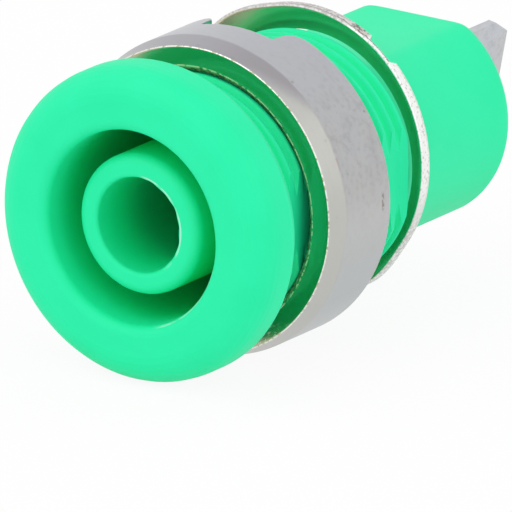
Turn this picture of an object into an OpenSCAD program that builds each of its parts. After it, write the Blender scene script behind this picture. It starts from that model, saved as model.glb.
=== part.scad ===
// Shrouded 4 mm panel socket with a flat push-on tab, a slotted round nut and a loose washer.
// The axis runs along Y: the plug enters from -Y, the tab points to +Y, and +Z is up.
// The origin is on the axis, in the plane where the flange's rear face meets the panel.

/* [Flange] */
// Diameter of the front flange
flange_d = 14.6; // [14:0.1:16]
// Thickness of the flange
flange_t = 3.15; // [2.6:0.05:3.6]
// Radius of the flange's rounded front edge
flange_round = 1.4; // [0.8:0.1:1.6]
// Length of the bevel on the flange's rear edge
flange_bevel_len = 0.75; // [0.3:0.05:0.9]
// Width of the bevel on the flange's rear edge
flange_bevel_w = 0.45; // [0.1:0.05:0.6]

/* [Barrel] */
// Outer diameter of the barrel, over its thread
thread_d = 11.8; // [11.6:0.1:12.4]
// Length of the barrel behind the flange
barrel_len = 11.2; // [10.8:0.1:12.4]
// Distance across the two flats of the barrel
barrel_flats = 10.8; // [10.4:0.1:11.4]
// Bevel at the barrel's rear end
barrel_lead = 0.4; // [0.1:0.1:0.6]
// Distance from one ridge of the barrel's thread to the next
thread_pitch = 0.75; // [0.7:0.05:1.2]
// Depth of the grooves between the ridges
thread_depth = 0.36; // [0.2:0.02:0.5]
// Width of a ridge at its crest
thread_crest = 0.16; // [0.1:0.02:0.2]
// Width of a groove at its root
thread_root = 0.2; // [0.1:0.02:0.24]

/* [Rear body] */
// Diameter of the rear body
body_d = 10.2; // [9.6:0.1:10.6]
// Length of the rear body behind the barrel
body_len = 9.4; // [8:0.1:12]
// Distance across the upper and lower flats of the rear body
body_flats = 8.7; // [8.4:0.1:9.2]
// Radius of the rear body's rear edge
body_round = 0.8; // [0.2:0.05:1]

/* [Plug well] */
// Diameter of the ring-shaped well that takes the plug's shroud
well_d = 9; // [8.4:0.1:9.2]
// Depth of the well from the flange's face
well_depth = 12; // [10:0.1:12.2]
// Radius of the well's edge at the flange's face
well_round = 0.5; // [0.1:0.05:0.6]
// Diameter of the tube in the middle of the well
tube_d = 6.5; // [6.2:0.1:6.7]
// How far the tube's rim lies behind the flange's face
tube_set = 0.8; // [0.2:0.05:1]
// Radius of the tube's outer rim
tube_round = 0.5; // [0.2:0.05:0.5]
// Diameter of the insulated mouth in front of the contact
mouth_d = 4.4; // [4.2:0.05:4.6]
// Length of the insulated mouth
mouth_len = 6; // [4:0.1:7]
// Radius of the mouth's edge
mouth_round = 0.2; // [0.1:0.05:0.3]

/* [Contact sleeve] */
// Bore of the contact, for a 4 mm plug
bore_d = 4; // [3.9:0.01:4.05]
// Depth of the contact's bore
bore_len = 12.9; // [11:0.1:13.6]
// Outer diameter of the contact inside the tube
sleeve_d = 5.1; // [4.9:0.05:5.3]
// Outer diameter of the contact's collar in the rear body
collar_d = 6.6; // [6.4:0.1:6.9]
// Thickness of the plastic between the well's floor and the collar
seat_t = 1.2; // [0.8:0.1:1.8]
// How far the contact's rear end lies inside the rear body
sleeve_inset = 0.5; // [0.2:0.1:0.7]
// Bevel at the mouth of the contact's bore
bore_lead = 0.2; // [0.1:0.05:0.3]

/* [Flat tab] */
// Width of the flat tab
tab_w = 4.8; // [4.8:0.1:6.3]
// Thickness of the flat tab
tab_t = 0.5; // [0.5:0.1:0.8]
// How far the tab stands out of the rear body
tab_reach = 7; // [5:0.1:9]
// How deep the tab is staked into the contact
tab_root = 1.3; // [0.8:0.1:1.4]
// Length of the bevel at each corner of the tab's tip
tab_bevel_len = 1.1; // [0.6:0.1:1.6]
// Width of the bevel at each corner of the tab's tip
tab_bevel_w = 0.65; // [0.3:0.05:0.9]
// Diameter of the latch hole in the tab
tab_hole_d = 1.4; // [1.2:0.1:2]
// Distance of the latch hole from the tab's tip
tab_hole_back = 3.1; // [2.5:0.1:4]
// Turn of the tab about the axis, away from upright
tab_turn = 10; // [0:1:20]
// How far the tab's plane lies beside the axis
tab_offset = 0.45; // [0:0.05:0.5]

/* [Nut] */
// Wall of the round nut around its hole
nut_wall = 1.45; // [1.1:0.05:1.8]
// Length of the nut
nut_len = 4.6; // [3.8:0.1:5]
// Length of the taper behind the nut's front face
nut_taper_len = 1; // [0.5:0.1:1.4]
// Width of the taper around the nut's front face
nut_taper_w = 0.3; // [0.1:0.05:0.4]
// Bevel on the nut's rear edge
nut_edge = 0.15; // [0.05:0.05:0.3]
// Bevel at both ends of the nut's hole
nut_lead = 0.25; // [0.05:0.05:0.3]
// Width of the driver slot across the nut's rear face
slot_w = 3.9; // [2:0.1:4.5]
// Depth of the driver slot
slot_depth = 1.55; // [0.8:0.05:2]
// Radius of the driver slot's edges
slot_round = 0.9; // [0.2:0.1:1]
// Space between the flange and the nut
nut_gap = 2.35; // [0.5:0.05:2.8]

/* [Washer] */
// Width of the washer's ring around its hole
washer_band = 0.92; // [0.36:0.02:1.2]
// Thickness of the washer
washer_t = 0.65; // [0.4:0.05:0.8]
// Bevel on the washer's edges
washer_edge = 0.08; // [0.02:0.02:0.14]
// Lean of the loose washer
washer_tilt = 0.8; // [0:0.1:1]
// Direction of the lean, from the right side towards the top
washer_turn = 90; // [0:1:90]
// Direction in which the loose washer hangs, from the left side downwards
washer_hang = -14.5; // [-30:0.5:30]

/* [Clearances] */
// Space around the barrel in the nut's hole, on the radius
thread_clear = 0.05; // [0.03:0.01:0.1]
// Space around the rear body in the washer's hole, on the radius
washer_clear = 0.55; // [0.3:0.01:0.7]
// Space left between the rear body and the side of the washer's hole that hangs against it
washer_rest = 0.07; // [0.05:0.01:0.2]
// Space around the contact in the housing, on the radius
contact_clear = 0.02; // [0.01:0.01:0.05]
// Space beside the tab in its slot
tab_clear = 0.02; // [0.01:0.01:0.05]
// Space between the barrel's end and the middle of the washer's front face
washer_gap = 0.15; // [0.15:0.01:1.2]

/* [Hidden] */
$fn = 96;

// Overrun of a cut past the face that it opens
past = 0.5;

front_y = -flange_t;
tube_front = front_y + tube_set;
mouth_end = tube_front + mouth_len;
well_floor = front_y + well_depth;
collar_seat = well_floor + seat_t;
body_end = barrel_len + body_len;
sleeve_end = body_end - sleeve_inset;
tab_start = sleeve_end - tab_root;
tab_end = body_end + tab_reach;
nut_hole_r = thread_d / 2 + thread_clear;
nut_rim_r = nut_hole_r + nut_wall;
nut_rear = nut_gap + nut_len;
washer_hole_r = body_d / 2 + washer_clear;
washer_rim_r = washer_hole_r + washer_band;
washer_y = barrel_len + washer_gap + washer_t / 2;
washer_room = washer_clear - washer_rest;

PLASTIC = [0.20, 0.91, 0.62];
NICKEL = [0.76, 0.75, 0.76];

// Turns a solid of revolution from Z onto the part's axis
module along_axis() {
    rotate([-90, 0, 0]) children();
}

// What a rounded corner takes off: the corner is at the origin, with material towards -X and +Y
module round_off(radius) {
    difference() {
        translate([-radius, -past]) square([radius + past, radius + past]);
        translate([-radius, radius]) circle(radius);
    }
}

// Half sections of the grooves between the thread's ridges, with each turn drawn as a plain ring
module thread_grooves() {
    turns = floor((barrel_len - barrel_lead) / thread_pitch);
    mouth = thread_pitch - thread_crest;
    for (turn = [1 : turns])
        translate([thread_d / 2, (turn - 0.5) * thread_pitch])
            polygon([
                [past, -mouth / 2],
                [0, -mouth / 2],
                [-thread_depth, -thread_root / 2],
                [-thread_depth, thread_root / 2],
                [0, mouth / 2],
                [past, mouth / 2]
            ]);
}

// Half section of the housing's outside, radius across and axis upwards
module outer_section() {
    reach = flange_d / 2;
    barrel_r = thread_d / 2;
    difference() {
        polygon([
            [0, front_y],
            [reach, front_y],
            [reach, -flange_bevel_len],
            [reach - flange_bevel_w, 0],
            [0, 0]
        ]);
        translate([reach, front_y]) round_off(flange_round);
    }
    difference() {
        polygon([
            [0, front_y + flange_round],
            [barrel_r, front_y + flange_round],
            [barrel_r, barrel_len - barrel_lead],
            [barrel_r - barrel_lead, barrel_len],
            [0, barrel_len]
        ]);
        thread_grooves();
    }
    difference() {
        square([body_d / 2, body_end]);
        translate([body_d / 2, body_end]) mirror([0, 1]) round_off(body_round);
    }
}

// Half section of the tube in the middle of the well, with its rounded rim
module tube_section() {
    difference() {
        translate([0, tube_front]) square([tube_d / 2, well_depth]);
        translate([tube_d / 2, tube_front]) round_off(tube_round);
    }
}

// Half section of the stepped passage for the mouth and the contact
module passage_section() {
    mouth_r = mouth_d / 2;
    translate([0, tube_front - past]) square([mouth_r, mouth_len + 2 * past]);
    translate([mouth_r, tube_front]) mirror([1, 0]) round_off(mouth_round);
    translate([0, mouth_end]) square([sleeve_d / 2 + contact_clear, collar_seat - mouth_end + past]);
    translate([0, collar_seat]) square([collar_d / 2 + contact_clear, body_end - collar_seat + past]);
}

// Half section of the whole housing before its flats are cut
module housing_section() {
    difference() {
        union() {
            difference() {
                outer_section();
                translate([0, front_y - past]) square([well_d / 2, well_depth + past]);
                translate([well_d / 2, front_y]) mirror([1, 0]) round_off(well_round);
            }
            tube_section();
        }
        passage_section();
    }
}

// Two blocks that cut the barrel's flats, facing local X
module barrel_flats_cut() {
    length = barrel_len + past;
    for (side = [-1, 1])
        translate([side * (barrel_flats + thread_d) / 2, 0, length / 2])
            cube([thread_d, 2 * thread_d, length], center = true);
}

// What the rear body's flats take off, facing local Y, with their rear edges rounded
module body_flats_cut() {
    half = body_flats / 2;
    for (side = [0, 1])
        mirror([0, side, 0])
            rotate([90, 0, 90])
                linear_extrude(body_d + past, center = true) {
                    translate([half, barrel_len]) square([body_d, body_len + past]);
                    translate([half, body_end]) mirror([0, 1]) round_off(body_round);
                }
}

module housing() {
    color(PLASTIC)
        along_axis()
            difference() {
                rotate_extrude() housing_section();
                barrel_flats_cut();
                body_flats_cut();
            }
}

// Outline of the tab: axis across, width upwards
module tab_outline() {
    half = tab_w / 2;
    difference() {
        polygon([
            [tab_start, -half],
            [tab_end - tab_bevel_len, -half],
            [tab_end, tab_bevel_w - half],
            [tab_end, half - tab_bevel_w],
            [tab_end - tab_bevel_len, half],
            [tab_start, half]
        ]);
        translate([tab_end - tab_hole_back, 0]) circle(d = tab_hole_d);
    }
}

// Stands a flat outline up beside the axis and turns it as the tab is turned
module on_tab_plane(thickness) {
    rotate([0, tab_turn, 0])
        translate([-tab_offset, 0, 0])
            rotate([90, 0, 90])
                linear_extrude(thickness, center = true) children();
}

module contact_sleeve() {
    bore_r = bore_d / 2;
    color(NICKEL)
        difference() {
            along_axis()
                rotate_extrude()
                    polygon([
                        [bore_r + bore_lead, mouth_end],
                        [sleeve_d / 2, mouth_end],
                        [sleeve_d / 2, collar_seat],
                        [collar_d / 2, collar_seat],
                        [collar_d / 2, sleeve_end],
                        [0, sleeve_end],
                        [0, mouth_end + bore_len],
                        [bore_r, mouth_end + bore_len],
                        [bore_r, mouth_end + bore_lead]
                    ]);
            on_tab_plane(tab_t + 2 * tab_clear)
                translate([tab_start, -collar_d]) square([tab_root + past, 2 * collar_d]);
        }
}

module flat_tab() {
    color(NICKEL) on_tab_plane(tab_t) tab_outline();
}

// Cross-section of the driver slot: width across, mouth upwards at the origin
module slot_section() {
    translate([-slot_w / 2, -slot_depth]) square([slot_w, slot_depth + past]);
    for (side = [0, 1])
        mirror([side, 0]) translate([slot_w / 2, 0]) mirror([1, 0]) mirror([0, 1]) round_off(slot_round);
}

module mounting_nut() {
    color(NICKEL)
        along_axis()
            translate([0, 0, nut_gap])
                difference() {
                    rotate_extrude()
                        polygon([
                            [nut_hole_r + nut_lead, 0],
                            [nut_rim_r - nut_taper_w, 0],
                            [nut_rim_r, nut_taper_len],
                            [nut_rim_r, nut_len - nut_edge],
                            [nut_rim_r - nut_edge, nut_len],
                            [nut_hole_r + nut_lead, nut_len],
                            [nut_hole_r, nut_len - nut_lead],
                            [nut_hole_r, nut_lead]
                        ]);
                    translate([0, 0, nut_len])
                        rotate([90, 0, 0])
                            linear_extrude(2 * nut_rim_r + past, center = true) slot_section();
                }
}

module washer() {
    half = washer_t / 2;
    color(NICKEL)
        translate([-washer_room * cos(washer_hang), washer_y, -washer_room * sin(washer_hang)])
            rotate([0, -washer_turn, 0])
                rotate([0, 0, washer_tilt])
                    along_axis()
                        rotate_extrude()
                            polygon([
                                [washer_hole_r + washer_edge, -half],
                                [washer_rim_r - washer_edge, -half],
                                [washer_rim_r, washer_edge - half],
                                [washer_rim_r, half - washer_edge],
                                [washer_rim_r - washer_edge, half],
                                [washer_hole_r + washer_edge, half],
                                [washer_hole_r, half - washer_edge],
                                [washer_hole_r, washer_edge - half]
                            ]);
}

housing();
contact_sleeve();
flat_tab();
mounting_nut();
washer();
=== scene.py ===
"""Visual model of a green shrouded banana socket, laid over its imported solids.

The socket's axis runs along Y: the plug enters from -Y, the flat tab points to +Y, and +Z is up.
Lengths are in metres, apart from the places that a finish names on its surface, in millimetres.
"""

import logging
import math
from dataclasses import dataclass
from enum import Enum
from typing import Any, ClassVar, Mapping, Optional, Sequence, Union

import bpy
import numpy as np
from mathutils import Matrix, Vector


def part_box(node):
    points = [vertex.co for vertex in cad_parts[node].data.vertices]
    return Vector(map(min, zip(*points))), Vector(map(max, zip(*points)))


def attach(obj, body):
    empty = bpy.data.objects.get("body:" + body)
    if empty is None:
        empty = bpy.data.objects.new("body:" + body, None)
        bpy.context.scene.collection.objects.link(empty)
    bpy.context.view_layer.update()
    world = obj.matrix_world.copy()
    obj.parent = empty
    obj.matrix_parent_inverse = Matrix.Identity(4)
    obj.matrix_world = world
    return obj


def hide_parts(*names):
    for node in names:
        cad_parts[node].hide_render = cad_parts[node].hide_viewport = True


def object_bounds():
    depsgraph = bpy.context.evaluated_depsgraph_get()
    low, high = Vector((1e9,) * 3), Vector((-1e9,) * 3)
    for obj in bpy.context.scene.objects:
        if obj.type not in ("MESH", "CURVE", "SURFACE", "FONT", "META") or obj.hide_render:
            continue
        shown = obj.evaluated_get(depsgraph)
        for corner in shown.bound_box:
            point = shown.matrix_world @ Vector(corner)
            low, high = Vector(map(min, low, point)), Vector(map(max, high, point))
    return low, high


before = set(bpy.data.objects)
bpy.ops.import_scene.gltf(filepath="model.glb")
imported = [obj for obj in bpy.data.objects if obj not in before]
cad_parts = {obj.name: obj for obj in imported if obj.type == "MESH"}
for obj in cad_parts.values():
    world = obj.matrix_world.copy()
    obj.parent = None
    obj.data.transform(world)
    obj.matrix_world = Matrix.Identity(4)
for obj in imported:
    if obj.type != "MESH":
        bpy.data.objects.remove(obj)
CAD_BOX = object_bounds()

LOG = logging.getLogger("banana_socket")
MM = 0.001
TAU = 2 * math.pi
QUARTER = TAU / 4
TINY = 1e-6
SUPPORT = 0.05 * MM
RAYS_SEEN = ("Camera", "Glossy", "Transmission")
WHITE = (1.0, 1.0, 1.0, 1.0)

# The washer's rim widens over this range of the cosine to its widest place
SWELL_RANGE = (-0.375, 0.07)

Settings = Optional[Mapping[str, Any]]
Sockets = Optional[Mapping[Union[str, int], Any]]
Values = Union[float, np.ndarray]
Colour = tuple[float, float, float]
# A distance from the axis and a place along it, or two places in a plane
Point = tuple[float, float]
# Where a smooth rise starts and where it ends
Range = tuple[float, float]
# A band's middle, half of its width, and the width of its soft edge
Band = tuple[float, float, float]
# A noise's cells in a millimetre, and how many finer layers it has
Grit = tuple[float, float]


class Body(Enum):
    """The part's moving bodies."""

    SOCKET = "socket"
    NUT = "nut"


class Grain(Enum):
    """The way a metal's fine lines run, as their stretch across the axis and along it."""

    TURNED = (0.12, 6.0)
    ROLLED = (6.0, 0.25)


class Signal:
    """A shader value, on which Python's operators add Math nodes."""

    def __init__(self, tree: "Shader", socket: bpy.types.NodeSocket) -> None:
        """Wraps an output socket of a node tree."""
        self.tree = tree
        self.socket = socket

    def __add__(self, other: "Operand") -> "Signal":
        """The sum of two values."""
        return self.tree.math("ADD", self, other)

    __radd__ = __add__

    def __sub__(self, other: "Operand") -> "Signal":
        """This value less another."""
        return self.tree.math("SUBTRACT", self, other)

    def __rsub__(self, other: "Operand") -> "Signal":
        """Another value less this one."""
        return self.tree.math("SUBTRACT", other, self)

    def __mul__(self, other: "Operand") -> "Signal":
        """The product of two values."""
        return self.tree.math("MULTIPLY", self, other)

    __rmul__ = __mul__

    def __truediv__(self, other: "Operand") -> "Signal":
        """This value over another."""
        return self.tree.math("DIVIDE", self, other)

    def __rtruediv__(self, other: "Operand") -> "Signal":
        """Another value over this one."""
        return self.tree.math("DIVIDE", other, self)

    def __abs__(self) -> "Signal":
        """The value without its sign."""
        return self.tree.math("ABSOLUTE", self)

    def ramp(self, low: float, high: float) -> "Signal":
        """A smooth rise from 0 at one value to 1 at another, which may be the smaller one."""
        sockets = {"Value": self, "From Min": low, "From Max": high}
        return self.tree.read("ShaderNodeMapRange", {"interpolation_type": "SMOOTHSTEP"}, sockets)

    def band(self, centre: float, half: float, soft: float) -> "Signal":
        """A mask that is 1 within half a width of a value and falls to 0 over a soft edge."""
        return abs(self - centre).ramp(half + soft, half)

    def flecked(self, stops: Mapping[float, Colour]) -> "Signal":
        """A colour that changes from one stop to the other over this value."""
        return self.tree.read("ShaderNodeValToRGB", {"stops": stops}, {"Fac": self})


Operand = Union[Signal, float]


class Shader:
    """The node tree of a material or of the world."""

    def __init__(self, owner: Union[bpy.types.Material, bpy.types.World]) -> None:
        """Empties the owner's node tree.

        Args:
            owner: The material or world that is to be shaded.
        """
        owner.use_nodes = True
        self.nodes = owner.node_tree.nodes
        self.links = owner.node_tree.links
        self.nodes.clear()

    def node(self, kind: str, settings: Settings = None, sockets: Sockets = None) -> bpy.types.Node:
        """Adds a node.

        Args:
            kind: Blender's name of the node's type.
            settings: The node's own properties, which are set first; stops are those of a colour ramp.
            sockets: Values or links of its inputs, by name or number.

        Returns:
            The node.
        """
        made = self.nodes.new(kind)
        for name, value in (settings or {}).items():
            if name == "stops":
                self._set_stops(made.color_ramp, value)
            else:
                setattr(made, name, value)
        for key, value in (sockets or {}).items():
            source = value.socket if isinstance(value, Signal) else value
            if isinstance(source, bpy.types.NodeSocket):
                self.links.new(source, made.inputs[key])
            else:
                made.inputs[key].default_value = source
        return made

    @staticmethod
    def _set_stops(ramp: bpy.types.ColorRamp, stops: Mapping[float, Colour]) -> None:
        """Gives a colour ramp two stops, with a smooth run between them.

        Args:
            ramp: The colour ramp.
            stops: The colour at each place, in rising order.
        """
        ramp.interpolation = "EASE"
        for element, (place, colour) in zip(ramp.elements, stops.items()):
            element.position = place
            element.color = as_rgba(colour)

    def read(self, kind: str, settings: Settings, sockets: Sockets, output: int = 0) -> Signal:
        """Adds a node and takes one of its outputs, by number."""
        return Signal(self, self.node(kind, settings, sockets).outputs[output])

    def math(self, operation: str, *operands: Operand) -> Signal:
        """Adds a Math node for an operation on some values."""
        return self.read("ShaderNodeMath", {"operation": operation}, dict(enumerate(operands)))

    def mix(self, share: Operand, first: Any, second: Any) -> Signal:
        """Mixes two colours.

        Args:
            share: How much of the second colour there is.
            first: The first colour.
            second: The second colour.

        Returns:
            The mixed colour.
        """
        factor, colour_a, colour_b, result = 0, 6, 7, 2
        sockets = {factor: share, colour_a: as_rgba(first), colour_b: as_rgba(second)}
        return self.read("ShaderNodeMix", {"data_type": "RGBA"}, sockets, result)

    def spot(self) -> "Spot":
        """Reads the surface point.

        Returns:
            The point, in millimetres along the object's own axes.
        """
        point = self.node("ShaderNodeTexCoord").outputs["Object"]
        grown = self.node("ShaderNodeVectorMath", {"operation": "SCALE"}, {0: point, "Scale": 1 / MM})
        parts = self.node("ShaderNodeSeparateXYZ", None, {0: grown.outputs[0]})
        x, y, z = (Signal(self, parts.outputs[name]) for name in "XYZ")
        return Spot(x, y, z, self.math("SQRT", x * x + z * z))

    def vector(self, at: "Spot") -> bpy.types.NodeSocket:
        """A surface point as one vector."""
        return self.node("ShaderNodeCombineXYZ", None, {0: at.x, 1: at.y, 2: at.z}).outputs[0]

    def noise(self, at: "Spot", grit: Grit) -> Signal:
        """Soft noise from 0 to 1 at a point, as fine as its grit says."""
        sockets = {"Vector": self.vector(at), "Scale": grit[0], "Detail": grit[1]}
        return self.read("ShaderNodeTexNoise", None, sockets)

    def specks(self, at: "Spot", scale: float) -> tuple[Signal, Signal]:
        """Scattered points, one in each cell.

        Args:
            at: The point at which the cells are read.
            scale: How many cells there are in a millimetre.

        Returns:
            The distance to the nearest point, in cells, and that cell's own random value.
        """
        made = self.node("ShaderNodeTexVoronoi", None, {"Vector": self.vector(at), "Scale": scale})
        chance = self.read("ShaderNodeSeparateColor", None, {0: made.outputs["Color"]})
        return Signal(self, made.outputs["Distance"]), chance

    def bump(self, height: Signal, depth: float, strength: float) -> Signal:
        """A normal that follows a height from 0 to 1, which is so many metres deep."""
        return self.read("ShaderNodeBump", None, {"Height": height, "Distance": depth, "Strength": strength})

    def seen(self) -> Signal:
        """Tells what is looked at from what only lights other things.

        Returns:
            1 for what the camera sees, straight or in a mirror, and 0 for soft light.
        """
        rays = self.node("ShaderNodeLightPath").outputs
        straight, mirrored, through = (Signal(self, rays[f"Is {kind} Ray"]) for kind in RAYS_SEEN)
        return self.math("MAXIMUM", straight, self.math("MAXIMUM", mirrored, through))

    def blend(self, share: Signal, first: bpy.types.Node, second: bpy.types.Node) -> bpy.types.Node:
        """Mixes two shaders by the second one's share."""
        return self.node("ShaderNodeMixShader", None, {0: share, 1: first.outputs[0], 2: second.outputs[0]})

    def end(self, shader: bpy.types.Node, kind: str = "ShaderNodeOutputMaterial") -> None:
        """Ends the tree in a shader, with the given type of output node."""
        self.node(kind, None, {"Surface": shader.outputs[0]})


def as_rgba(colour: Any) -> Any:
    """A colour with its alpha, where it is given as three numbers."""
    return (*colour, 1.0) if isinstance(colour, tuple) and len(colour) == 3 else colour


@dataclass(frozen=True)
class Spot:
    """A surface point: its place along X, Y and Z, and its distance from the Y axis."""

    x: Signal
    y: Signal
    z: Signal
    radius: Signal


@dataclass(frozen=True)
class Tint:
    """The look of a zone, and limits of where it lies, by the names of a surface's measures.

    A colour given as stops changes over the specks. A limit of two numbers is a smooth rise, one of three
    a band, and an empty one takes the measure itself. No roughness leaves the surface's own.
    """

    colour: Union[Colour, Mapping[float, Colour]]
    roughness: Optional[float]
    limits: Mapping[str, Sequence[float]]
    share: float = 1.0
    metal: float = 1.0

    def mask(self, measures: Mapping[str, Signal]) -> Operand:
        """Where the zone lies.

        Args:
            measures: The surface's measures.

        Returns:
            The mask, from 0 to the zone's share.
        """
        cover: Operand = self.share
        for name, limit in self.limits.items():
            part = measures[name]
            if limit:
                part = part.ramp(*limit) if len(limit) == 2 else part.band(*limit)
            cover = part * cover
        return cover

    def paint(self, measures: Mapping[str, Signal]) -> Any:
        """The zone's colour, plain or flecked over the surface's specks."""
        plain = isinstance(self.colour, tuple)
        return self.colour if plain else measures["speck"].flecked(self.colour)


@dataclass(frozen=True)
class Finish:
    """The look of a piece's surface: a base, and tints laid over it in order."""

    name: str
    tints: ClassVar[Mapping[str, Tint]] = {}

    def base(self, tree: Shader, spot: Spot) -> dict[str, Any]:
        """The shader's values and links before the tints are laid."""
        raise NotImplementedError

    def measures(self, tree: Shader, spot: Spot) -> dict[str, Signal]:
        """What the tints' limits go by."""
        return {"x": spot.x, "y": spot.y, "z": spot.z, "radius": spot.radius}

    def material(self) -> bpy.types.Material:
        """Lays the tints over the base.

        Returns:
            The finish's material.
        """
        made = bpy.data.materials.new(self.name)
        tree = Shader(made)
        spot = tree.spot()
        look, measures = self.base(tree, spot), self.measures(tree, spot)
        for tint in self.tints.values():
            mask = tint.mask(measures)
            look["Base Color"] = tree.mix(mask, look["Base Color"], tint.paint(measures))
            if tint.roughness is not None:
                look["Roughness"] = look["Roughness"] + mask * (tint.roughness - look["Roughness"])
            if tint.metal < 1:
                look["Metallic"] = look["Metallic"] - mask * (look["Metallic"] - tint.metal)
        tree.end(tree.node("ShaderNodeBsdfPrincipled", None, look))
        return made


@dataclass(frozen=True)
class MouldedPlastic(Finish):
    """Green moulded plastic with a fine satin skin, painted shade in the well and the bore, and pale flash on
    two edges that is partly a painted highlight.
    """

    name: str = "green_plastic"
    colour: Colour = (0.014, 0.890, 0.424)
    clouded: Colour = (0.011, 0.874, 0.408)
    cloud_grit: Grit = (0.35, 3.0)
    cloud_range: Range = (0.35, 0.7)
    roughness: float = 0.55
    specular: float = 0.3
    skin_grit: Grit = (7.0, 3.0)
    skin_gloss: float = 0.12
    skin_depth: float = 0.012 * MM
    skin_relief: float = 0.30
    speck_grit: Grit = (1.4, 2.0)
    # Pale flash: real moulding flash, its pale colour partly a painted highlight on the edge
    flash: ClassVar[Colour] = (0.50, 0.92, 0.76)
    ragged: ClassVar[Mapping[str, Range]] = {"speck": (0.28, 0.58)}
    tints: ClassVar[Mapping[str, Tint]] = {
        # Painted shade: a deeper, more saturated green inside the well, round the tube and down the passage
        "inside": Tint(
            (0.003, 0.865, 0.335), None, {"radius": (4.62, 4.48), "y": (-2.9, -0.6), "end": (10.5, 10.0)}
        ),
        # Painted shade: a darker green deeper down the bore
        "bore": Tint((0.003, 0.60, 0.24), None, {"radius": (2.32, 2.25), "y": (-0.6, 1.8)}),
        # Pale flash on the mouth's right edge, partly a painted highlight
        "mouth flash": Tint(
            flash,
            None,
            {"radius": (2.31, 0.03, 0.04), "y": (-2.30, 0.07, 0.05), "x": (0.0, 0.5), "z": (-1.9, -1.2)}
            | ragged,
            0.8,
        ),
        # Pale flash on the well's right edge, partly a painted highlight
        "well flash": Tint(
            flash,
            None,
            {"radius": (4.58, 0.02, 0.035), "y": (-2.95, 0.12, 0.06), "x": (1.2, 2.0), "z": (2.6, 1.9)}
            | ragged,
            0.55,
        ),
    }

    def measures(self, tree: Shader, spot: Spot) -> dict[str, Signal]:
        """The place again for a second limit along the axis, and the flash's noise."""
        return super().measures(tree, spot) | {"end": spot.y, "speck": tree.noise(spot, self.speck_grit)}

    def base(self, tree: Shader, spot: Spot) -> dict[str, Any]:
        """The clouded green and its skin.

        Args:
            tree: The material's nodes.
            spot: The surface point.

        Returns:
            The shader's values and links.
        """
        skin = tree.noise(spot, self.skin_grit)
        cloud = tree.noise(spot, self.cloud_grit).ramp(*self.cloud_range)
        return {
            "Base Color": tree.mix(cloud, self.colour, self.clouded),
            "Roughness": self.roughness + self.skin_gloss * (skin - 0.5),
            "Normal": tree.bump(skin, self.skin_depth, self.skin_relief),
            "Specular IOR Level": self.specular,
        }


@dataclass(frozen=True)
class PlatedMetal(Finish):
    """Nickel plate over brass: fine tool lines, clouded tints and small pits.

    Each dark value is the share of soot where a noise lies in its range, or where there is a pit.
    """

    cool: Colour
    warm: Colour
    roughness: float
    grain: Grain
    soot: Colour = (0.13, 0.125, 0.12)
    pit_share: float = 0.0
    pit_cells: float = 1.1
    pit_edge: Range = (0.16, 0.07)
    pit_step: float = 0.001
    pit_dark: float = 0.7
    pit_gloss: float = 0.2
    cloud_grit: Grit = (0.28, 2.0)
    cloud_range: Range = (0.3, 0.7)
    line_grit: Grit = (1.6, 3.0)
    line_range: Range = (0.5, 0.8)
    line_dark: float = 0.07
    line_depth: float = 0.004 * MM
    line_relief: float = 0.5
    fine_grit: Grit = (3.5, 4.0)
    fine_range: Range = (0.45, 0.7)
    fine_dark: float = 0.13
    fine_gloss: float = 0.16
    fine_height: float = 0.6
    blotch_grit: Grit = (1.2, 3.0)
    blotch_range: Range = (0.45, 0.7)
    blotch_dark: float = 0.07

    def lines(self, tree: Shader, spot: Spot) -> Signal:
        """The tool's fine lines.

        Args:
            tree: The material's nodes.
            spot: The surface point.

        Returns:
            The height of the lines, from 0 to 1.
        """
        across, along = self.grain.value
        run = spot.y + spot.radius if self.grain is Grain.TURNED else spot.y
        return tree.noise(Spot(spot.x * across, run * along, spot.z * across, spot.radius), self.line_grit)

    def base(self, tree: Shader, spot: Spot) -> dict[str, Any]:
        """The clouded plate with its lines and pits.

        Args:
            tree: The material's nodes.
            spot: The surface point.

        Returns:
            The shader's values and links.
        """
        lines = self.lines(tree, spot)
        fine = tree.noise(spot, self.fine_grit)
        blotch = tree.noise(spot, self.blotch_grit)
        cloud = tree.noise(spot, self.cloud_grit).ramp(*self.cloud_range)
        distance, chance = tree.specks(spot, self.pit_cells)
        unpitted = 1.0 - self.pit_share
        pit = distance.ramp(*self.pit_edge) * chance.ramp(unpitted, unpitted + self.pit_step)
        shade = pit * self.pit_dark + fine.ramp(*self.fine_range) * self.fine_dark
        shade = shade + lines.ramp(*self.line_range) * self.line_dark
        shade = shade + blotch.ramp(*self.blotch_range) * self.blotch_dark
        relief = lines + self.fine_height * fine - pit
        return {
            "Base Color": tree.mix(shade, tree.mix(cloud, self.cool, self.warm), self.soot),
            "Metallic": 1.0,
            "Roughness": self.roughness + self.fine_gloss * (fine - 0.5) + pit * self.pit_gloss,
            "Normal": tree.bump(relief, self.line_depth, self.line_relief),
        }


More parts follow.
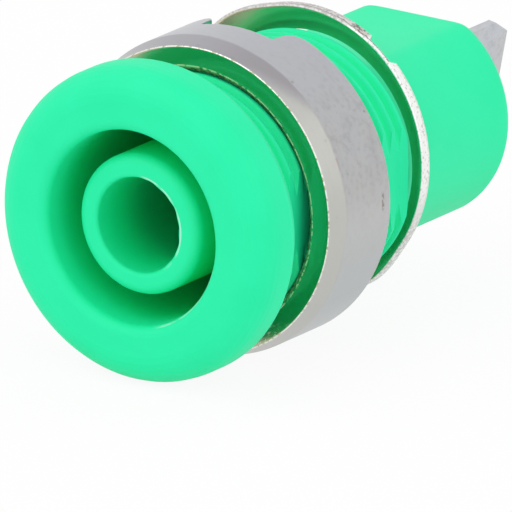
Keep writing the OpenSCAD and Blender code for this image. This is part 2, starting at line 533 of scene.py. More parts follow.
@dataclass(frozen=True, kw_only=True)
class NutNickel(PlatedMetal):
    """The nut's plate: a mirror-like front face between a rim with a painted highlight and a brassy hole
    edge.
    """

    face_y: float
    taper_y: float
    rim_r: float
    hole_r: float
    wave: float = 0.35
    wave_grit: Grit = (0.5, 2.0)
    speck_grit: Grit = (5.0, 3.0)
    # The slant, the left share, the gain to the right and its range place the taper's painted reflections
    slant: float = 1.2
    left_share: float = 0.45
    right_gain: float = 0.4
    right_x: Range = (-1.0, 3.2)
    on_taper: ClassVar[Range] = (0.22, 0.1)
    on_face: ClassVar[Range] = (0.05, 0.02)
    tints: ClassVar[Mapping[str, Tint]] = {
        # Painted reflections by height: the side darker and bluer at the top, lighter below the middle,
        # greyer low down
        "top": Tint((0.455, 0.465, 0.505), 0.32, {"z": (4.5, 7.0)}, 0.7),
        "middle": Tint((0.54, 0.54, 0.54), 0.34, {"z": (1.8, -0.6)}, 0.7),
        "low": Tint((0.46, 0.48, 0.49), 0.34, {"z": (0.5, -4.0)}, 0.75),
        # Painted reflections on the taper: beige on its lower part
        "taper": Tint((0.535, 0.535, 0.495), 0.36, {"taper": on_taper, "height": (10.2, 8.6)}, 0.8),
        # Painted reflection on the taper: dark on its upper part, most towards the right
        "upper taper": Tint(
            (0.335, 0.315, 0.335), 0.34, {"taper": on_taper, "height": (8.6, 10.2), "to the right": ()}
        ),
        "scuff": Tint(
            (0.25, 0.21, 0.175),
            0.5,
            {"y": (6.28, 0.04, 0.09), "z": (0.33, 0.25, 0.25), "speck": (0.36, 0.50)},
            0.75,
        ),
        "scratch": Tint((0.42, 0.31, 0.28), 0.4, {"wavy": (3.55, 0.03, 0.05), "z": (2.7, 0.2, 0.15)}, 0.45),
        # Painted shade: the hole's wall dark and dull, for the shade between the nut and the barrel
        "hole": Tint((0.07, 0.055, 0.03), 0.6, {"from hole": (-0.15, -0.22)}, metal=0.5),
        "face": Tint((0.45, 0.455, 0.30), 0.14, {"depth": on_face}),
        # Painted glints: bright specks on the lower part of the front face
        "painted glints": Tint(
            (0.80, 0.82, 0.74), 0.3, {"depth": on_face, "z": (-4.4, -6.2), "speck": (0.56, 0.62)}, 0.8, 0.3
        ),
        "bevel": Tint(
            {0.42: (0.20, 0.15, 0.07), 0.58: (0.62, 0.52, 0.29)},
            0.35,
            {"from hole": (0.0, -0.03), "depth": (0.30, 0.24)},
            0.95,
            0.25,
        ),
        "hole edge": Tint(
            (0.86, 0.80, 0.56),
            0.35,
            {"from hole": (0.0, 0.03, 0.03), "depth": (0.08, 0.04), "speck": (0.40, 0.52)},
            metal=0.2,
        ),
        # Painted highlight: the rounded rim between the face and the taper painted near-white in specks
        "rim": Tint(
            (0.86, 0.85, 0.82),
            0.25,
            {"from rim": (-0.05, -0.03), "depth": (0.06, 0.03), "speck": (0.38, 0.52)},
            0.9,
        ),
    }

    def measures(self, tree: Shader, spot: Spot) -> dict[str, Signal]:
        """What the tints' limits go by.

        Args:
            tree: The material's nodes.
            spot: The surface point.

        Returns:
            Places and distances in millimetres, noises, and a share that grows to the right.
        """
        wavy = spot.y + self.wave * tree.noise(spot, self.wave_grit)
        return super().measures(tree, spot) | {
            "wavy": wavy,
            "taper": wavy - self.taper_y,
            # The slanted height and the share to the right place the taper's painted reflections
            "height": spot.z + self.slant * wavy,
            "to the right": self.left_share + self.right_gain * spot.x.ramp(*self.right_x),
            "depth": spot.y - self.face_y,
            "from hole": spot.radius - self.hole_r,
            "from rim": spot.radius - self.rim_r,
            "speck": tree.noise(spot, self.speck_grit),
        }


@dataclass(frozen=True, kw_only=True)
class WasherNickel(PlatedMetal):
    """The washer's plate: a dark mirror of a face and a bright stamped rim that is partly a painted
    highlight, torn on its upper arc and darkened there by painted shade.
    """

    rim_r: float
    swell: float
    swell_turn: float
    torn_from: float
    rough_from: float
    speck_grit: Grit = (7.0, 4.0)
    speck_shift: float = 0.25
    on_rim: ClassVar[Range] = (-0.10, -0.07)
    low_arc: ClassVar[Range] = (math.radians(-92), math.radians(-122))
    top_arc: ClassVar[Range] = (math.radians(-18) - 0.10, math.radians(-18))
    tints: ClassVar[Mapping[str, Tint]] = {
        "face": Tint((0.61, 0.60, 0.40), 0.22, {"y": (0.10, 0.02)}),
        # A bright stamped rim, painted near-white in flecks as a highlight
        "rim": Tint({0.52: (0.92, 0.925, 0.90), 0.68: (0.60, 0.59, 0.55)}, 0.30, {"from rim": on_rim}),
        "burr": Tint(
            (0.62, 0.66, 0.54), 0.35, {"from rim": on_rim, "torn": (0.02, 0.0), "ragged": (0.12, 0.30)}, 0.8
        ),
        # The rim's painted highlight is dimmer on its low arc
        "low arc": Tint(
            {0.44: (0.50, 0.50, 0.475), 0.60: (0.80, 0.80, 0.77)},
            0.35,
            {"from rim": on_rim, "angle": low_arc},
            0.9,
        ),
        # Painted shade: the rim darker on its upper arc
        "top arc": Tint(
            {0.40: (0.50, 0.475, 0.465), 0.60: (0.72, 0.705, 0.69)},
            0.40,
            {"from rim": on_rim, "angle": top_arc},
        ),
        "crack": Tint(
            (0.33, 0.30, 0.28), 0.45, {"from rim": on_rim, "torn": (0.0, 0.02), "ragged": (-0.10, 0.02, 0.03)}
        ),
        "torn arc": Tint(
            {0.44: (0.17, 0.15, 0.135), 0.58: (0.66, 0.62, 0.57)},
            0.50,
            {"from rim": on_rim, "rough": (0.0, 0.06), "angle": top_arc[::-1], "ragged": (-0.26, -0.20)},
            0.9,
        ),
    }

    def measures(self, tree: Shader, spot: Spot) -> dict[str, Signal]:
        """What the tints' limits go by.

        Args:
            tree: The material's nodes.
            spot: The surface point, along the washer's own axes.

        Returns:
            Places and distances in millimetres, angles, and noises.
        """
        toward = (spot.x * math.cos(self.swell_turn) + spot.z * math.sin(self.swell_turn)) / spot.radius
        angle = tree.math("ARCTAN2", spot.z, spot.x)
        speck = tree.noise(spot, self.speck_grit)
        return super().measures(tree, spot) | {
            "from rim": spot.radius - self.swell * toward.ramp(*SWELL_RANGE) - self.rim_r,
            "angle": angle,
            "torn": angle - self.torn_from,
            "rough": angle - self.rough_from,
            "ragged": spot.y + self.speck_shift * (speck - 0.5),
            "speck": speck,
        }


@dataclass(frozen=True)
class Corner:
    """A corner of a half section, and the radius that rounds it."""

    radius: float
    along: float
    rounding: float = 0.0


def rounded(corners: Sequence[Corner], steps: int = 7) -> list[Point]:
    """Lays out an open section with its corners rounded and extra points near the ends of long runs.

    Args:
        corners: The section's corners; the first and the last stay sharp.
        steps: How many pieces an arc has.

    Returns:
        Points of radius and place along the axis.
    """
    spots = [Vector((c.radius, c.along)) for c in corners]
    points: list[Vector] = [spots[0]]
    for before, spot, after, corner in zip(spots, spots[1:], spots[2:], corners[1:]):
        back, ahead = (before - spot).normalized(), (after - spot).normalized()
        half = back.angle(ahead) / 2
        reach = corner.rounding / math.tan(half)
        centre = spot + (back + ahead).normalized() * (corner.rounding / math.sin(half))
        start, end = spot + back * reach - centre, spot + ahead * reach - centre
        turn = start.angle_signed(end)
        for step in range(steps + 1):
            points.append(centre + Matrix.Rotation(-turn * step / steps, 2) @ start)
    points.append(spots[-1])
    laid: list[Point] = []
    for here, there in zip(points, points[1:]):
        laid.append(tuple(here))
        run = there - here
        if run.length > 4 * SUPPORT:
            laid.append(tuple(here + run.normalized() * SUPPORT))
            laid.append(tuple(there - run.normalized() * SUPPORT))
    laid.append(tuple(points[-1]))
    return laid


def quarter_steps(steps: int) -> list[float]:
    """The angles of a quarter turn in equal steps."""
    return [QUARTER * step / steps for step in range(steps + 1)]


def smooth(share: Values) -> Values:
    """A smooth rise from 0 to 1 over the same range, and level outside it."""
    inside = np.clip(share, 0, 1)
    return inside * inside * (3 - 2 * inside)


def around(angles: np.ndarray, radius: Values, along: Values) -> np.ndarray:
    """Points around the axis.

    Args:
        angles: Their angles, from +X towards +Z.
        radius: Their distance from the axis.
        along: Their place along the axis.

    Returns:
        The points, one row each.
    """
    level = np.broadcast_to(along, angles.shape)
    return np.stack([radius * np.cos(angles), level, radius * np.sin(angles)], 1)


def link(made: bpy.types.Object) -> bpy.types.Object:
    """Puts an object into the scene and returns it."""
    bpy.context.scene.collection.objects.link(made)
    return made


@dataclass(frozen=True)
class RingMesh:
    """A skin of quads over rings with equal numbers of points; some columns stay sharp between two rings."""

    rings: Sequence[np.ndarray]
    sharp_columns: Sequence[int] = ()
    sharp_rings: tuple[int, int] = (0, 0)

    def build(self, name: str) -> bpy.types.Object:
        """Makes the object, with the last ring joined to the first.

        Args:
            name: The object's name.

        Returns:
            The object.
        """
        count, wide = len(self.rings), len(self.rings[0])
        spots = np.concatenate(self.rings)
        ring, column = np.divmod(np.arange(count * wide), wide)
        here, there = ring * wide, (ring + 1) % count * wide
        beside = (column + 1) % wide
        quads = np.stack([here + column, here + beside, there + beside, there + column], 1)
        corners = spots[quads]
        across = np.cross(corners[:, 2] - corners[:, 0], corners[:, 3] - corners[:, 1])
        if (across * corners.mean(1)).sum() < 0:
            quads = quads[:, ::-1]
        mesh = bpy.data.meshes.new(name)
        mesh.from_pydata(spots.tolist(), [], quads.tolist())
        mesh.shade_smooth()
        self._sharpen(mesh)
        mesh.validate()
        return link(bpy.data.objects.new(name, mesh))

    def _sharpen(self, mesh: bpy.types.Mesh) -> None:
        """Marks the sharp lines.

        Args:
            mesh: The skin's mesh.
        """
        ends = np.zeros(len(mesh.edges) * 2, np.int32)
        mesh.edges.foreach_get("vertices", ends)
        ring, column = np.divmod(ends.reshape(-1, 2), len(self.rings[0]))
        first, last = self.sharp_rings
        inside = (ring >= first).all(1) & (ring <= last).all(1) & (column[:, 0] == column[:, 1])
        marks = mesh.attributes.new("sharp_edge", "BOOLEAN", "EDGE")
        marks.data.foreach_set("value", inside & np.isin(column[:, 0], self.sharp_columns))


class Piece:
    """A piece of the socket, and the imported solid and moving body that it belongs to."""

    node: ClassVar[str]
    body: ClassVar[Body]

    def build(self) -> bpy.types.Object:
        """Makes the piece's object."""
        raise NotImplementedError

    def finish(self) -> Finish:
        """The look of the piece's surface."""
        raise NotImplementedError

    def dress(self, made: bpy.types.Object) -> None:
        """Gives the piece its material and, unless it is the solid itself, the solid's place.

        Args:
            made: The piece's object.
        """
        finish = self.finish()
        made.data.materials.clear()
        made.data.materials.append(finish.material())
        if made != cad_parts[self.node]:
            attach(made, self.body.value)
            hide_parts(self.node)
        LOG.info("%s: %d faces, for %s", made.name, len(made.data.polygons), self.node)


@dataclass
class Housing(Piece):
    """The green moulding: flange, plug well, threaded barrel and rear body."""

    node = "housing"
    body = Body.SOCKET

    flange_round: float = 1.4 * MM
    bevel_len: float = 0.75 * MM
    bevel_w: float = 0.45 * MM
    bevel_round: float = 0.5 * MM
    rear_round: float = 0.12 * MM
    root_gap: float = 0.1 * MM
    thread_r: float = 5.9 * MM
    thread_depth: float = 0.36 * MM
    crest_half: float = 0.08 * MM
    root_half: float = 0.10 * MM
    pitch: float = 0.75 * MM
    barrel_len: float = 11.2 * MM
    barrel_half: float = 5.4 * MM
    barrel_lead: float = 0.2 * MM
    flat_runout: float = 0.6 * MM
    runout_share: float = 0.45
    body_r: float = 5.1 * MM
    body_half: float = 4.42 * MM
    body_round: float = 0.8 * MM
    body_soft: float = 0.08 * MM
    body_steps: int = 8
    # The fillet at the rear body's front end, as places behind the barrel and insets
    body_foot: tuple[Point, ...] = ((0.0, -0.12 * MM), (0.04 * MM, -0.04 * MM), (0.12 * MM, 0.0))
    well_r: float = 4.5 * MM
    well_depth: float = 12.0 * MM
    well_round: float = 0.5 * MM
    floor_round: float = 0.2 * MM
    tube_r: float = 3.25 * MM
    tube_set: float = 0.8 * MM
    tube_round: float = 0.5 * MM
    mouth_r: float = 2.2 * MM
    mouth_len: float = 6.0 * MM
    mouth_round: float = 0.2 * MM
    flash_w: float = 0.09 * MM
    flash_back: float = 0.1 * MM
    flash_reach: float = 0.3 * MM
    flash_turn: float = 0.4
    # The flash's waves: height, count around the mouth, and start
    flash_waves: tuple[Band, ...] = ((0.3, 7, 1.0), (0.2, 17, 2.0))
    sleeve_hole_r: float = 2.57 * MM
    collar_hole_r: float = 3.32 * MM
    passage_lead: float = 0.14 * MM
    passage_round: float = 0.05 * MM
    seat_t: float = 1.2 * MM
    # Columns in a quarter turn, up to a flat's edge, and up to the end of the close ones beside it
    quarter: int = 72
    flat_columns: int = 14
    close_columns: int = 34
    close_turn: float = math.radians(44)
    flat_least: float = 0.06
    edge_guess: float = 0.3
    edge_rounds: int = 30
    rings_per_turn: int = 12

    def __post_init__(self) -> None:
        """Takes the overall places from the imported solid."""
        low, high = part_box(self.node)
        self.front, self.end, self.flange_r = low.y, high.y, high.x
        self.floor = self.front + self.well_depth
        self.rim = self.front + self.tube_set
        self.step = self.rim + self.mouth_len
        self.seat = self.floor + self.seat_t

    def finish(self) -> Finish:
        """The look of the moulding."""
        return MouldedPlastic()

    def spread(self, knots: Sequence[float], angles: Sequence[Sequence[float]]) -> np.ndarray:
        """Spreads a ring's columns between given angles.

        Args:
            knots: Column numbers within one quarter turn.
            angles: For each quarter turn, the angle from its nearest flat's middle at each knot.

        Returns:
            The angle of each column.
        """
        columns = np.arange(self.quarter)
        first = np.interp(columns, knots, angles[0])
        second = math.pi - np.interp(self.quarter - columns, knots, angles[1])
        third = math.pi + np.interp(columns, knots, angles[2])
        fourth = TAU - np.interp(self.quarter - columns, knots, angles[3])
        return np.concatenate([first, second, third, fourth])

    def even(self) -> np.ndarray:
        """Angles of a plain round ring's columns."""
        return self.spread((0, self.quarter), [(0, QUARTER)] * 4)

    def flash(self, radius: float, along: float, angles: np.ndarray) -> np.ndarray:
        """How far the moulding's flash reaches into the mouth, on the right of its edge.

        Args:
            radius: The distance from the axis.
            along: The place along it.
            angles: The angles around it.

        Returns:
            The reach at each angle, which is nothing away from the mouth's edge.
        """
        off = math.hypot(radius - self.mouth_r, along - self.rim - self.flash_back)
        wave = 0.5 + sum(high * np.sin(count * angles + start) for high, count, start in self.flash_waves)
        right = np.clip(np.cos(angles - self.flash_turn), 0, 1)
        return self.flash_w * max(1 - off / self.flash_reach, 0) * wave * right

    def crest(self, along: float, angles: np.ndarray) -> np.ndarray:
        """Radius of the threaded barrel before its flats are cut.

        Args:
            along: The place along the axis.
            angles: The angles around it.

        Returns:
            The radius at each angle.
        """
        off_crest = self.pitch * np.abs((along / self.pitch + angles / TAU) % 1.0 - 0.5)
        flank = self.pitch / 2 - self.crest_half - self.root_half
        share = np.clip((off_crest - self.crest_half) / flank, 0, 1)
        threaded = self.thread_r - self.thread_depth * (0.5 - 0.5 * np.cos(math.pi * share))
        lead = self.thread_r - self.barrel_lead + (self.barrel_len - along)
        return np.minimum(threaded, lead)

    def barrel_ring(self, along: float) -> np.ndarray:
        """One ring of the barrel, with columns on the edges of its two flats, which run out at the end.

        Args:
            along: The place along the axis.

        Returns:
            The ring's points.
        """
        turns = np.array([0.0, math.pi, math.pi, TAU])
        signs = np.array([1.0, -1.0, 1.0, -1.0])
        ending = smooth((along - self.barrel_len) / self.flat_runout + 1)
        half = self.barrel_half + self.runout_share * (self.thread_r - self.barrel_half) * ending
        edge = np.full(len(turns), self.edge_guess)
        for _ in range(self.edge_rounds):
            radius = self.crest(along, turns + signs * edge)
            edge = np.maximum(np.arccos(np.clip(half / radius, -1, 1)), self.flat_least)
        knots = (0, self.flat_columns, self.close_columns, self.quarter)
        angles = self.spread(knots, [(0, e, self.close_turn, QUARTER) for e in edge])
        flat = half / np.maximum(np.abs(np.cos(angles)), TINY)
        return around(angles, np.minimum(self.crest(along, angles), flat), along)

    def body_ring(self, along: float, inset: float) -> np.ndarray:
        """One ring of the rear body, with a soft line between its flats and its round sides.

        Args:
            along: The place along the axis.
            inset: How far the whole outline is drawn in.

        Returns:
            The ring's points.
        """
        angles = self.even()
        flat = (self.body_half - inset) / np.maximum(np.abs(np.sin(angles)), TINY)
        gap = (flat - (self.body_r - inset)) / (2 * self.body_soft)
        lower = np.minimum(flat, self.body_r - inset)
        return around(angles, lower - self.body_soft * np.log1p(np.exp(-2 * np.abs(gap))), along)

    def front_section(self) -> list[Point]:
        """Half section from the contact's step, round the tube and the well, to the flange's rear."""
        return rounded(
            [
                Corner(self.sleeve_hole_r, self.step),
                Corner(self.mouth_r, self.step, self.passage_round),
                Corner(self.mouth_r, self.rim, self.mouth_round),
                Corner(self.tube_r, self.rim, self.tube_round),
                Corner(self.tube_r, self.floor, self.floor_round),
                Corner(self.well_r, self.floor, self.floor_round),
                Corner(self.well_r, self.front, self.well_round),
                Corner(self.flange_r, self.front, self.flange_round),
                Corner(self.flange_r, -self.bevel_len, self.bevel_round),
                Corner(self.flange_r - self.bevel_w, 0.0, self.rear_round),
                Corner(self.thread_r + self.root_gap, 0.0),
            ]
        )

    def passage_section(self) -> list[Point]:
        """Half section of the passage from the rear end to the contact's step."""
        return rounded(
            [
                Corner(self.collar_hole_r + self.passage_lead, self.end),
                Corner(self.collar_hole_r, self.end, self.rear_round),
                Corner(self.collar_hole_r, self.seat, self.passage_round),
                Corner(self.sleeve_hole_r, self.seat, self.passage_round),
                Corner(self.sleeve_hole_r, self.step + self.passage_round),
            ]
        )

    def build(self) -> bpy.types.Object:
        """Lays the rings from the mouth to the rear end and back through the passage.

        Returns:
            The housing's object.
        """
        even = self.even()
        rings = [around(even, r - self.flash(r, along, even), along) for r, along in self.front_section()]
        first = len(rings)
        turns = int(self.barrel_len / self.pitch * self.rings_per_turn)
        rings += [self.barrel_ring(float(along)) for along in np.linspace(0.0, self.barrel_len, turns)]
        last = len(rings) - 1
        rings += self.body_rings()
        rings += [around(even, r, along) for r, along in self.passage_section()]
        half, side = 2 * self.quarter, self.flat_columns
        edges = (side, half - side, half + side, 2 * half - side)
        return RingMesh(rings, edges, (first, last)).build("green_housing")

    def body_rings(self) -> list[np.ndarray]:
        """The rear body's rings, with a rounded rear edge.

        Returns:
            The rings, front to rear.
        """
        rings = [self.body_ring(self.barrel_len + behind, inset) for behind, inset in self.body_foot]
        rings.append(self.body_ring(self.end - self.body_round - SUPPORT, 0.0))
        for swing in quarter_steps(self.body_steps):
            inset = self.body_round * (1 - math.cos(swing))
            rings.append(self.body_ring(self.end - self.body_round * (1 - math.sin(swing)), inset))
        return rings + [self.body_ring(self.end, self.body_round + SUPPORT)]


@dataclass
class MountingNut(Piece):
    """The round nut with a driver slot across its rear face."""

    node = "mounting_nut"
    body = Body.NUT

    hole_r: float = 5.95 * MM
    lead: float = 0.25 * MM
    lead_round: float = 0.04 * MM
    taper_len: float = 1.0 * MM
    taper_w: float = 0.3 * MM
    taper_round: float = 0.4 * MM
    rim_round: float = 0.07 * MM
    edge: float = 0.15 * MM
    rear_len: float = 0.4 * MM
    slot_half: float = 1.95 * MM
    slot_depth: float = 1.55 * MM
    slot_round: float = 0.9 * MM
    slot_draft: float = 0.03 * MM
    floor_round: float = 0.2 * MM
    floor_steps: int = 8
    foot_steps: int = 4
    lip_steps: int = 9
    arc_steps: int = 5
    side_columns: int = 100

    def __post_init__(self) -> None:
        """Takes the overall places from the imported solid."""
        low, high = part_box(self.node)
        self.front, self.rear, self.rim_r = low.y, high.y, high.x

    def finish(self) -> Finish:
        """The look of the nut, with tints at its face, taper, rim and hole."""
        return NutNickel(
            "nut_nickel",
            (0.465, 0.47, 0.4825),
            (0.48, 0.475, 0.47),
            0.32,
            Grain.TURNED,
            pit_share=0.30,
            face_y=self.front / MM,
            taper_y=(self.front + self.taper_len) / MM,
            rim_r=(self.rim_r - self.taper_w) / MM,
            hole_r=(self.hole_r + self.lead) / MM,
        )

    def slot_profile(self) -> list[Point]:
        """Half of the slot's section, from its middle outwards.

        Returns:
            Points of distance from the middle and depth below the rear face.
        """
        wall, stride = self.slot_half + self.slot_draft, self.slot_half / self.floor_steps
        profile = [(stride * k, self.slot_depth) for k in range(self.floor_steps - 1)]
        for swing in quarter_steps(self.foot_steps):
            out = self.slot_half - self.floor_round * (1 - math.sin(swing))
            profile.append((out, self.slot_depth - self.floor_round * (1 - math.cos(swing))))
        for swing in quarter_steps(self.lip_steps):
            out = wall + self.slot_round * (1 - math.cos(swing))
            profile.append((out, self.slot_round * (1 - math.sin(swing))))
        return profile

    def section(self) -> list[tuple[float, float, float]]:
        """The ring's closed section.

        Returns:
            Points of radius, place along the axis, and share of the slot's depth taken off there.
        """
        middle = (self.front + self.rear) / 2
        front = [
            Corner(self.hole_r, middle),
            Corner(self.hole_r, self.front + self.lead, self.lead_round),
            Corner(self.hole_r + self.lead, self.front, self.lead_round),
            Corner(self.rim_r - self.taper_w, self.front, self.rim_round),
            Corner(self.rim_r, self.front + self.taper_len, self.taper_round),
            Corner(self.rim_r, middle),
        ]
        rear = [
            Corner(self.rim_r, self.rear - self.rear_len),
            Corner(self.rim_r, self.rear, self.edge),
            Corner(self.hole_r + self.lead, self.rear, self.lead_round),
            Corner(self.hole_r, self.rear - self.lead, self.lead_round),
            Corner(self.hole_r, self.rear - self.rear_len),
        ]
        whole = [(radius, along, 0.0) for radius, along in rounded(front, self.arc_steps)]
        return whole + [(radius, along, 1.0) for radius, along in rounded(rear, self.arc_steps)]

    def ring(self, radius: float, along: float, share: float) -> np.ndarray:
        """One ring of the nut, sunk where the slot crosses it.

        Args:
            radius: The ring's radius.
            along: Its place along the axis.
            share: How much of the slot's depth is taken off it.

        Returns:
            The ring's points.
        """
        half = self.slot_profile()
        across = np.array([-x for x, _ in reversed(half[1:])] + [x for x, _ in half])
        depth = np.array([d for _, d in reversed(half[1:])] + [d for _, d in half])
        edge = math.acos(across[-1] / radius)
        swing = np.linspace(-edge, edge, self.side_columns + 2)[1:-1]
        right = around(swing, radius, along)
        left = around(swing + math.pi, radius, along)
        height = np.sqrt(radius**2 - across**2)
        top = np.stack([across, along - share * depth, height], 1)[::-1]
        bottom = np.stack([across, along - share * depth, -height], 1)
        return np.concatenate([right, top, left, bottom])

    def build(self) -> bpy.types.Object:
        """Lays the nut's rings."""
        return RingMesh([self.ring(*spot) for spot in self.section()]).build("round_nut")


@dataclass
class Washer(Piece):
    """The stamped ring that hangs loose behind the barrel, out of round, dished and bitten."""

    node = "washer"
    body = Body.SOCKET

    hole_r: float = 5.65 * MM
    band: float = 0.97 * MM
    thickness: float = 0.65 * MM
    edge: float = 0.08 * MM
    dish: float = 0.27 * MM
    dish_end: float = 0.1 * MM
    dish_gain: float = 1.3
    lip: float = 0.04 * MM
    # How far before the lip the section starts and ends
    seam: Point = (0.015 * MM, 0.01 * MM)
    hole_shift: float = 0.36 * MM
    bite_depth: float = 0.38 * MM
    bite_slope: float = 2.5
    bite_from: float = math.radians(-44)
    bite_to: float = math.radians(-31)
    swell: float = 0.28 * MM
    swell_turn: float = math.radians(126)
    tilt: float = math.radians(0.8)
    turn: float = math.radians(90)
    arc_steps: int = 4
    columns: int = 288

    def finish(self) -> Finish:
        """The look of the washer, with tints that follow its rim and its bite."""
        return WasherNickel(
            "washer_nickel",
            (0.595, 0.60, 0.6025),
            (0.605, 0.60, 0.5875),
            0.30,
            Grain.TURNED,
            rim_r=(self.hole_r + self.band) / MM,
            swell=self.swell / MM,
            swell_turn=self.swell_turn,
            torn_from=self.bite_from,
            rough_from=self.bite_to,
        )

    def placing(self) -> Matrix:
        """Places the ring, which leans and hangs to one side.

        Returns:
            Where its own axes lie, of which Y runs through the hole.
        """
        low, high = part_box(self.node)
        lean = Matrix.Rotation(-self.turn, 4, "Y") @ Matrix.Rotation(self.tilt, 4, "Z")
        return Matrix.Translation((low + high) / 2) @ lean

    def ring(self, radius: float, along: float) -> np.ndarray:
        """One ring of the washer, about its own axis.

        Args:
            radius: The ring's radius.
            along: Its place along the axis.

        Returns:
            The ring's points: wider on one side, bitten on the rim's rear edge, the hole off centre and
            the front face sunk towards it, most where the band is widest.
        """
        angles = np.arange(self.columns) * TAU / self.columns
        signed = (angles + math.pi) % TAU - math.pi
        inward = (self.hole_r + self.band - radius) / self.band
        bitten = (signed > self.bite_from) & (signed < self.bite_to)
        behind = max(along / self.thickness + 0.5, 0.0)
        bite = self.bite_depth * bitten * max(1 - self.bite_slope * inward, 0.0) * behind
        to_axis = self.placing().inverted() @ Vector() - Vector()
        to_axis.y = 0
        shift = np.array(to_axis.normalized() * self.hole_shift)
        low, high = SWELL_RANGE
        swell = self.swell * smooth((np.cos(angles - self.swell_turn) - low) / (high - low))
        wider = self.dish_gain * (swell - around(angles, 1.0, 0.0) @ shift) / self.band
        sunk = self.dish * inward * wider if along < self.dish_end else 0.0
        return around(angles, radius + swell * (1 - inward), along - bite + sunk) + shift * inward

    def build(self) -> bpy.types.Object:
        """Lays the ring's section around its own axis and puts it in its place.

        Returns:
            The washer's object.
        """
        outer, half = self.hole_r + self.band, self.thickness / 2
        start, end = self.seam
        section = rounded(
            [
                Corner(self.hole_r, half - self.lip - start),
                Corner(self.hole_r, self.dish - half, self.lip),
                Corner(outer, -half, self.edge),
                Corner(outer, half, self.edge),
                Corner(self.hole_r, half, self.lip),
                Corner(self.hole_r, half - self.lip - end),
            ],
            self.arc_steps,
        )
        made = RingMesh([self.ring(*spot) for spot in section]).build("stamped_washer")
        made.matrix_world = self.placing()
        return made


@dataclass
class FlatTab(Piece):
    """The stamped push-on tab with bevelled corners and a latch hole."""

    node = "flat_tab"
    body = Body.SOCKET

    width: float = 4.8 * MM
    thickness: float = 0.5 * MM
    bevel_len: float = 1.1 * MM
    bevel_w: float = 0.65 * MM
    hole_r: float = 0.7 * MM
    hole_back: float = 3.1 * MM
    turn: float = math.radians(10)
    offset: float = 0.45 * MM
    edge: float = 0.05 * MM
    sharp_from: float = math.radians(20)
    per_side: int = 12

    def __post_init__(self) -> None:
        """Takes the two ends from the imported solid."""
        low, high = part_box(self.node)
        self.start, self.tip = low.y, high.y

    def finish(self) -> Finish:
        """The look of the tab."""
        return PlatedMetal("tab_nickel", (0.5375, 0.5575, 0.595), (0.5525, 0.5575, 0.56), 0.30, Grain.ROLLED)

    def outline(self, inset: float) -> np.ndarray:
        """The tab's outline, axis across and width upwards.

        Args:
            inset: How far the outline is drawn in.

        Returns:
            Its points, with the same number on each side.
        """
        half, shoulder = self.width / 2, self.tip - self.bevel_len
        corners = np.array(
            [
                (self.start, -half),
                (shoulder, -half),
                (self.tip, self.bevel_w - half),
                (self.tip, half - self.bevel_w),
                (shoulder, half),
                (self.start, half),
            ]
        )
        sides = np.roll(corners, -1, 0) - corners
        inward = np.stack([-sides[:, 1], sides[:, 0]], 1) / np.linalg.norm(sides, axis=1)[:, None]
        drawn = []
        for k in range(len(corners)):
            pair = np.stack([inward[k - 1], inward[k]])
            drawn.append(np.linalg.solve(pair, (pair * corners[k]).sum(1) + inset))
        share = np.arange(self.per_side)[:, None] / self.per_side
        return np.concatenate([a + (b - a) * share for a, b in zip(drawn, drawn[1:] + drawn[:1])])

    def build(self) -> bpy.types.Object:
        """Wraps a skin round the tab, through its latch hole.

        Returns:
            The tab's object.
        """
        flat, drawn = self.outline(0.0), self.outline(self.edge)
        centre = np.array([self.tip - self.hole_back, 0.0])
        half = self.thickness / 2
        away = flat - centre
        bearing = np.arctan2(away[:, 1], away[:, 0])
        spin = np.stack([np.cos(bearing), np.sin(bearing)], 1)
        hole, hole_edge = centre + spin * self.hole_r, centre + spin * (self.hole_r + self.edge)
        layers = [
            (drawn, -half),
            (flat, -half + self.edge),
            (flat, half - self.edge),
            (drawn, half),
            (hole_edge, half),
            (hole, half - self.edge),
            (hole, -half + self.edge),
            (hole_edge, -half),
        ]
        rings = [np.insert(points, 0, level - self.offset, 1) for points, level in layers]
        made = RingMesh(rings).build("push_on_tab")
        made.data.transform(Matrix.Rotation(self.turn, 4, "Y"))
        made.data.set_sharp_from_angle(angle=self.sharp_from)
        return made


class ContactSleeve(Piece):
    """The turned contact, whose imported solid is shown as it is."""

    node = "contact_sleeve"
    body = Body.SOCKET

    def build(self) -> bpy.types.Object:
        """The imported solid's own object."""
        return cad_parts[self.node]

    def finish(self) -> Finish:
        """The look of the contact."""
        return PlatedMetal("contact_nickel", (0.61, 0.605, 0.61), (0.63, 0.61, 0.585), 0.22, Grain.TURNED)


@dataclass(frozen=True)
class Lamp:
    """A soft square lamp."""

    name: str
    place: tuple[float, float, float]
    size: float
    power: float

    def light(self, target: Vector) -> None:
        """Adds the lamp, facing a target.

        Args:
            target: The point that it faces.
        """
        data = bpy.data.lights.new(self.name, "AREA")
        data.shape = "SQUARE"
        data.size = self.size
        data.energy = self.power
        lamp = link(bpy.data.objects.new(self.name, data))
        lamp.location = self.place
        lamp.rotation_euler = (target - lamp.location).to_track_quat("-Z", "Y").to_euler()


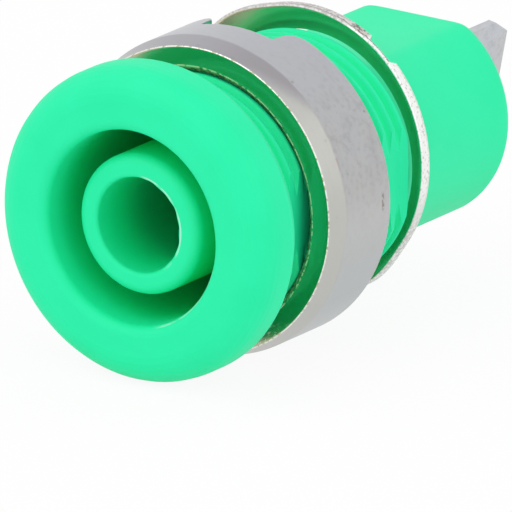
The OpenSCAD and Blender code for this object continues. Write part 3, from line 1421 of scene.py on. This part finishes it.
@dataclass(frozen=True)
class Studio:
    """The camera, the pale floor and the soft light."""

    azimuth: float = math.radians(33.586)
    elevation: float = math.radians(17.734)
    roll: float = math.radians(0.955)
    distance: float = 800 * MM
    image_px: float = 512.0
    origin_px: Point = (167.08, 212.84)
    px_per_metre: float = 22420.0
    sensor_mm: float = 36.0
    floor_size: float = 3.0
    paper: Colour = (0.92, 0.92, 0.92)
    shadow_lost: float = 0.92
    ambient: float = 0.85
    lamps: tuple[Lamp, ...] = (
        Lamp("key_lamp", (-0.20, -0.40, 0.50), 0.70, 1.0),
        Lamp("side_lamp", (0.60, -0.10, 0.30), 0.60, 0.5),
    )

    def place_camera(self) -> None:
        """Sets the camera so that the part's origin falls on its pixel."""
        across, down = ((self.image_px / 2 - pixel) / self.px_per_metre for pixel in self.origin_px)
        facing = Matrix.Rotation(self.azimuth, 4, "Z") @ Matrix.Rotation(QUARTER - self.elevation, 4, "X")
        rolled = facing @ Matrix.Rotation(self.roll, 4, "Z")
        data = bpy.data.cameras.new("camera")
        data.sensor_width = self.sensor_mm
        data.lens = self.px_per_metre * self.distance * self.sensor_mm / self.image_px
        camera = link(bpy.data.objects.new("camera", data))
        camera.matrix_world = rolled @ Matrix.Translation((across, -down, self.distance))
        bpy.context.scene.camera = camera

    def lay_floor(self) -> None:
        """Lays the pale floor under the part."""
        half, level = self.floor_size / 2, CAD_BOX[0].z
        mesh = bpy.data.meshes.new("floor")
        square = [(-half, -half), (half, -half), (half, half), (-half, half)]
        mesh.from_pydata([(x, y, level) for x, y in square], [], [(0, 1, 2, 3)])
        floor = link(bpy.data.objects.new("floor", mesh))
        mesh.materials.append(self.floor_material())

    def floor_material(self) -> bpy.types.Material:
        """Makes white paper that keeps a part of the shadow where the camera or a mirror sees it.

        Returns:
            The floor's material.
        """
        made = bpy.data.materials.new("floor_paper")
        tree = Shader(made)
        paper = tree.node("ShaderNodeBsdfDiffuse", None, {"Color": as_rgba(self.paper)})
        white = tree.node("ShaderNodeEmission", None, {"Color": WHITE, "Strength": 1.0})
        tree.end(tree.blend(tree.seen() * self.shadow_lost, paper, white))
        return made

    def set_world(self) -> None:
        """Fills the surroundings with soft white light."""
        world = bpy.data.worlds.new("studio")
        bpy.context.scene.world = world
        tree = Shader(world)
        soft = tree.node("ShaderNodeBackground", None, {"Color": WHITE, "Strength": self.ambient})
        white = tree.node("ShaderNodeBackground", None, {"Color": WHITE, "Strength": 1.0})
        tree.end(tree.blend(tree.seen(), soft, white), "ShaderNodeOutputWorld")

    def build(self) -> None:
        """Sets up the whole studio."""
        bpy.context.scene.view_settings.view_transform = "Standard"
        self.place_camera()
        self.lay_floor()
        self.set_world()
        low, high = CAD_BOX
        for lamp in self.lamps:
            lamp.light((low + high) / 2)
        LOG.info("studio: %d lamps", len(self.lamps))


def main() -> None:
    """Builds the studio and every piece in order."""
    logging.basicConfig(level=logging.INFO, format="%(name)s: %(message)s")
    Studio().build()
    for piece in (Housing(), MountingNut(), Washer(), FlatTab(), ContactSleeve()):
        piece.dress(piece.build())


if __name__ == "__main__":
    main()
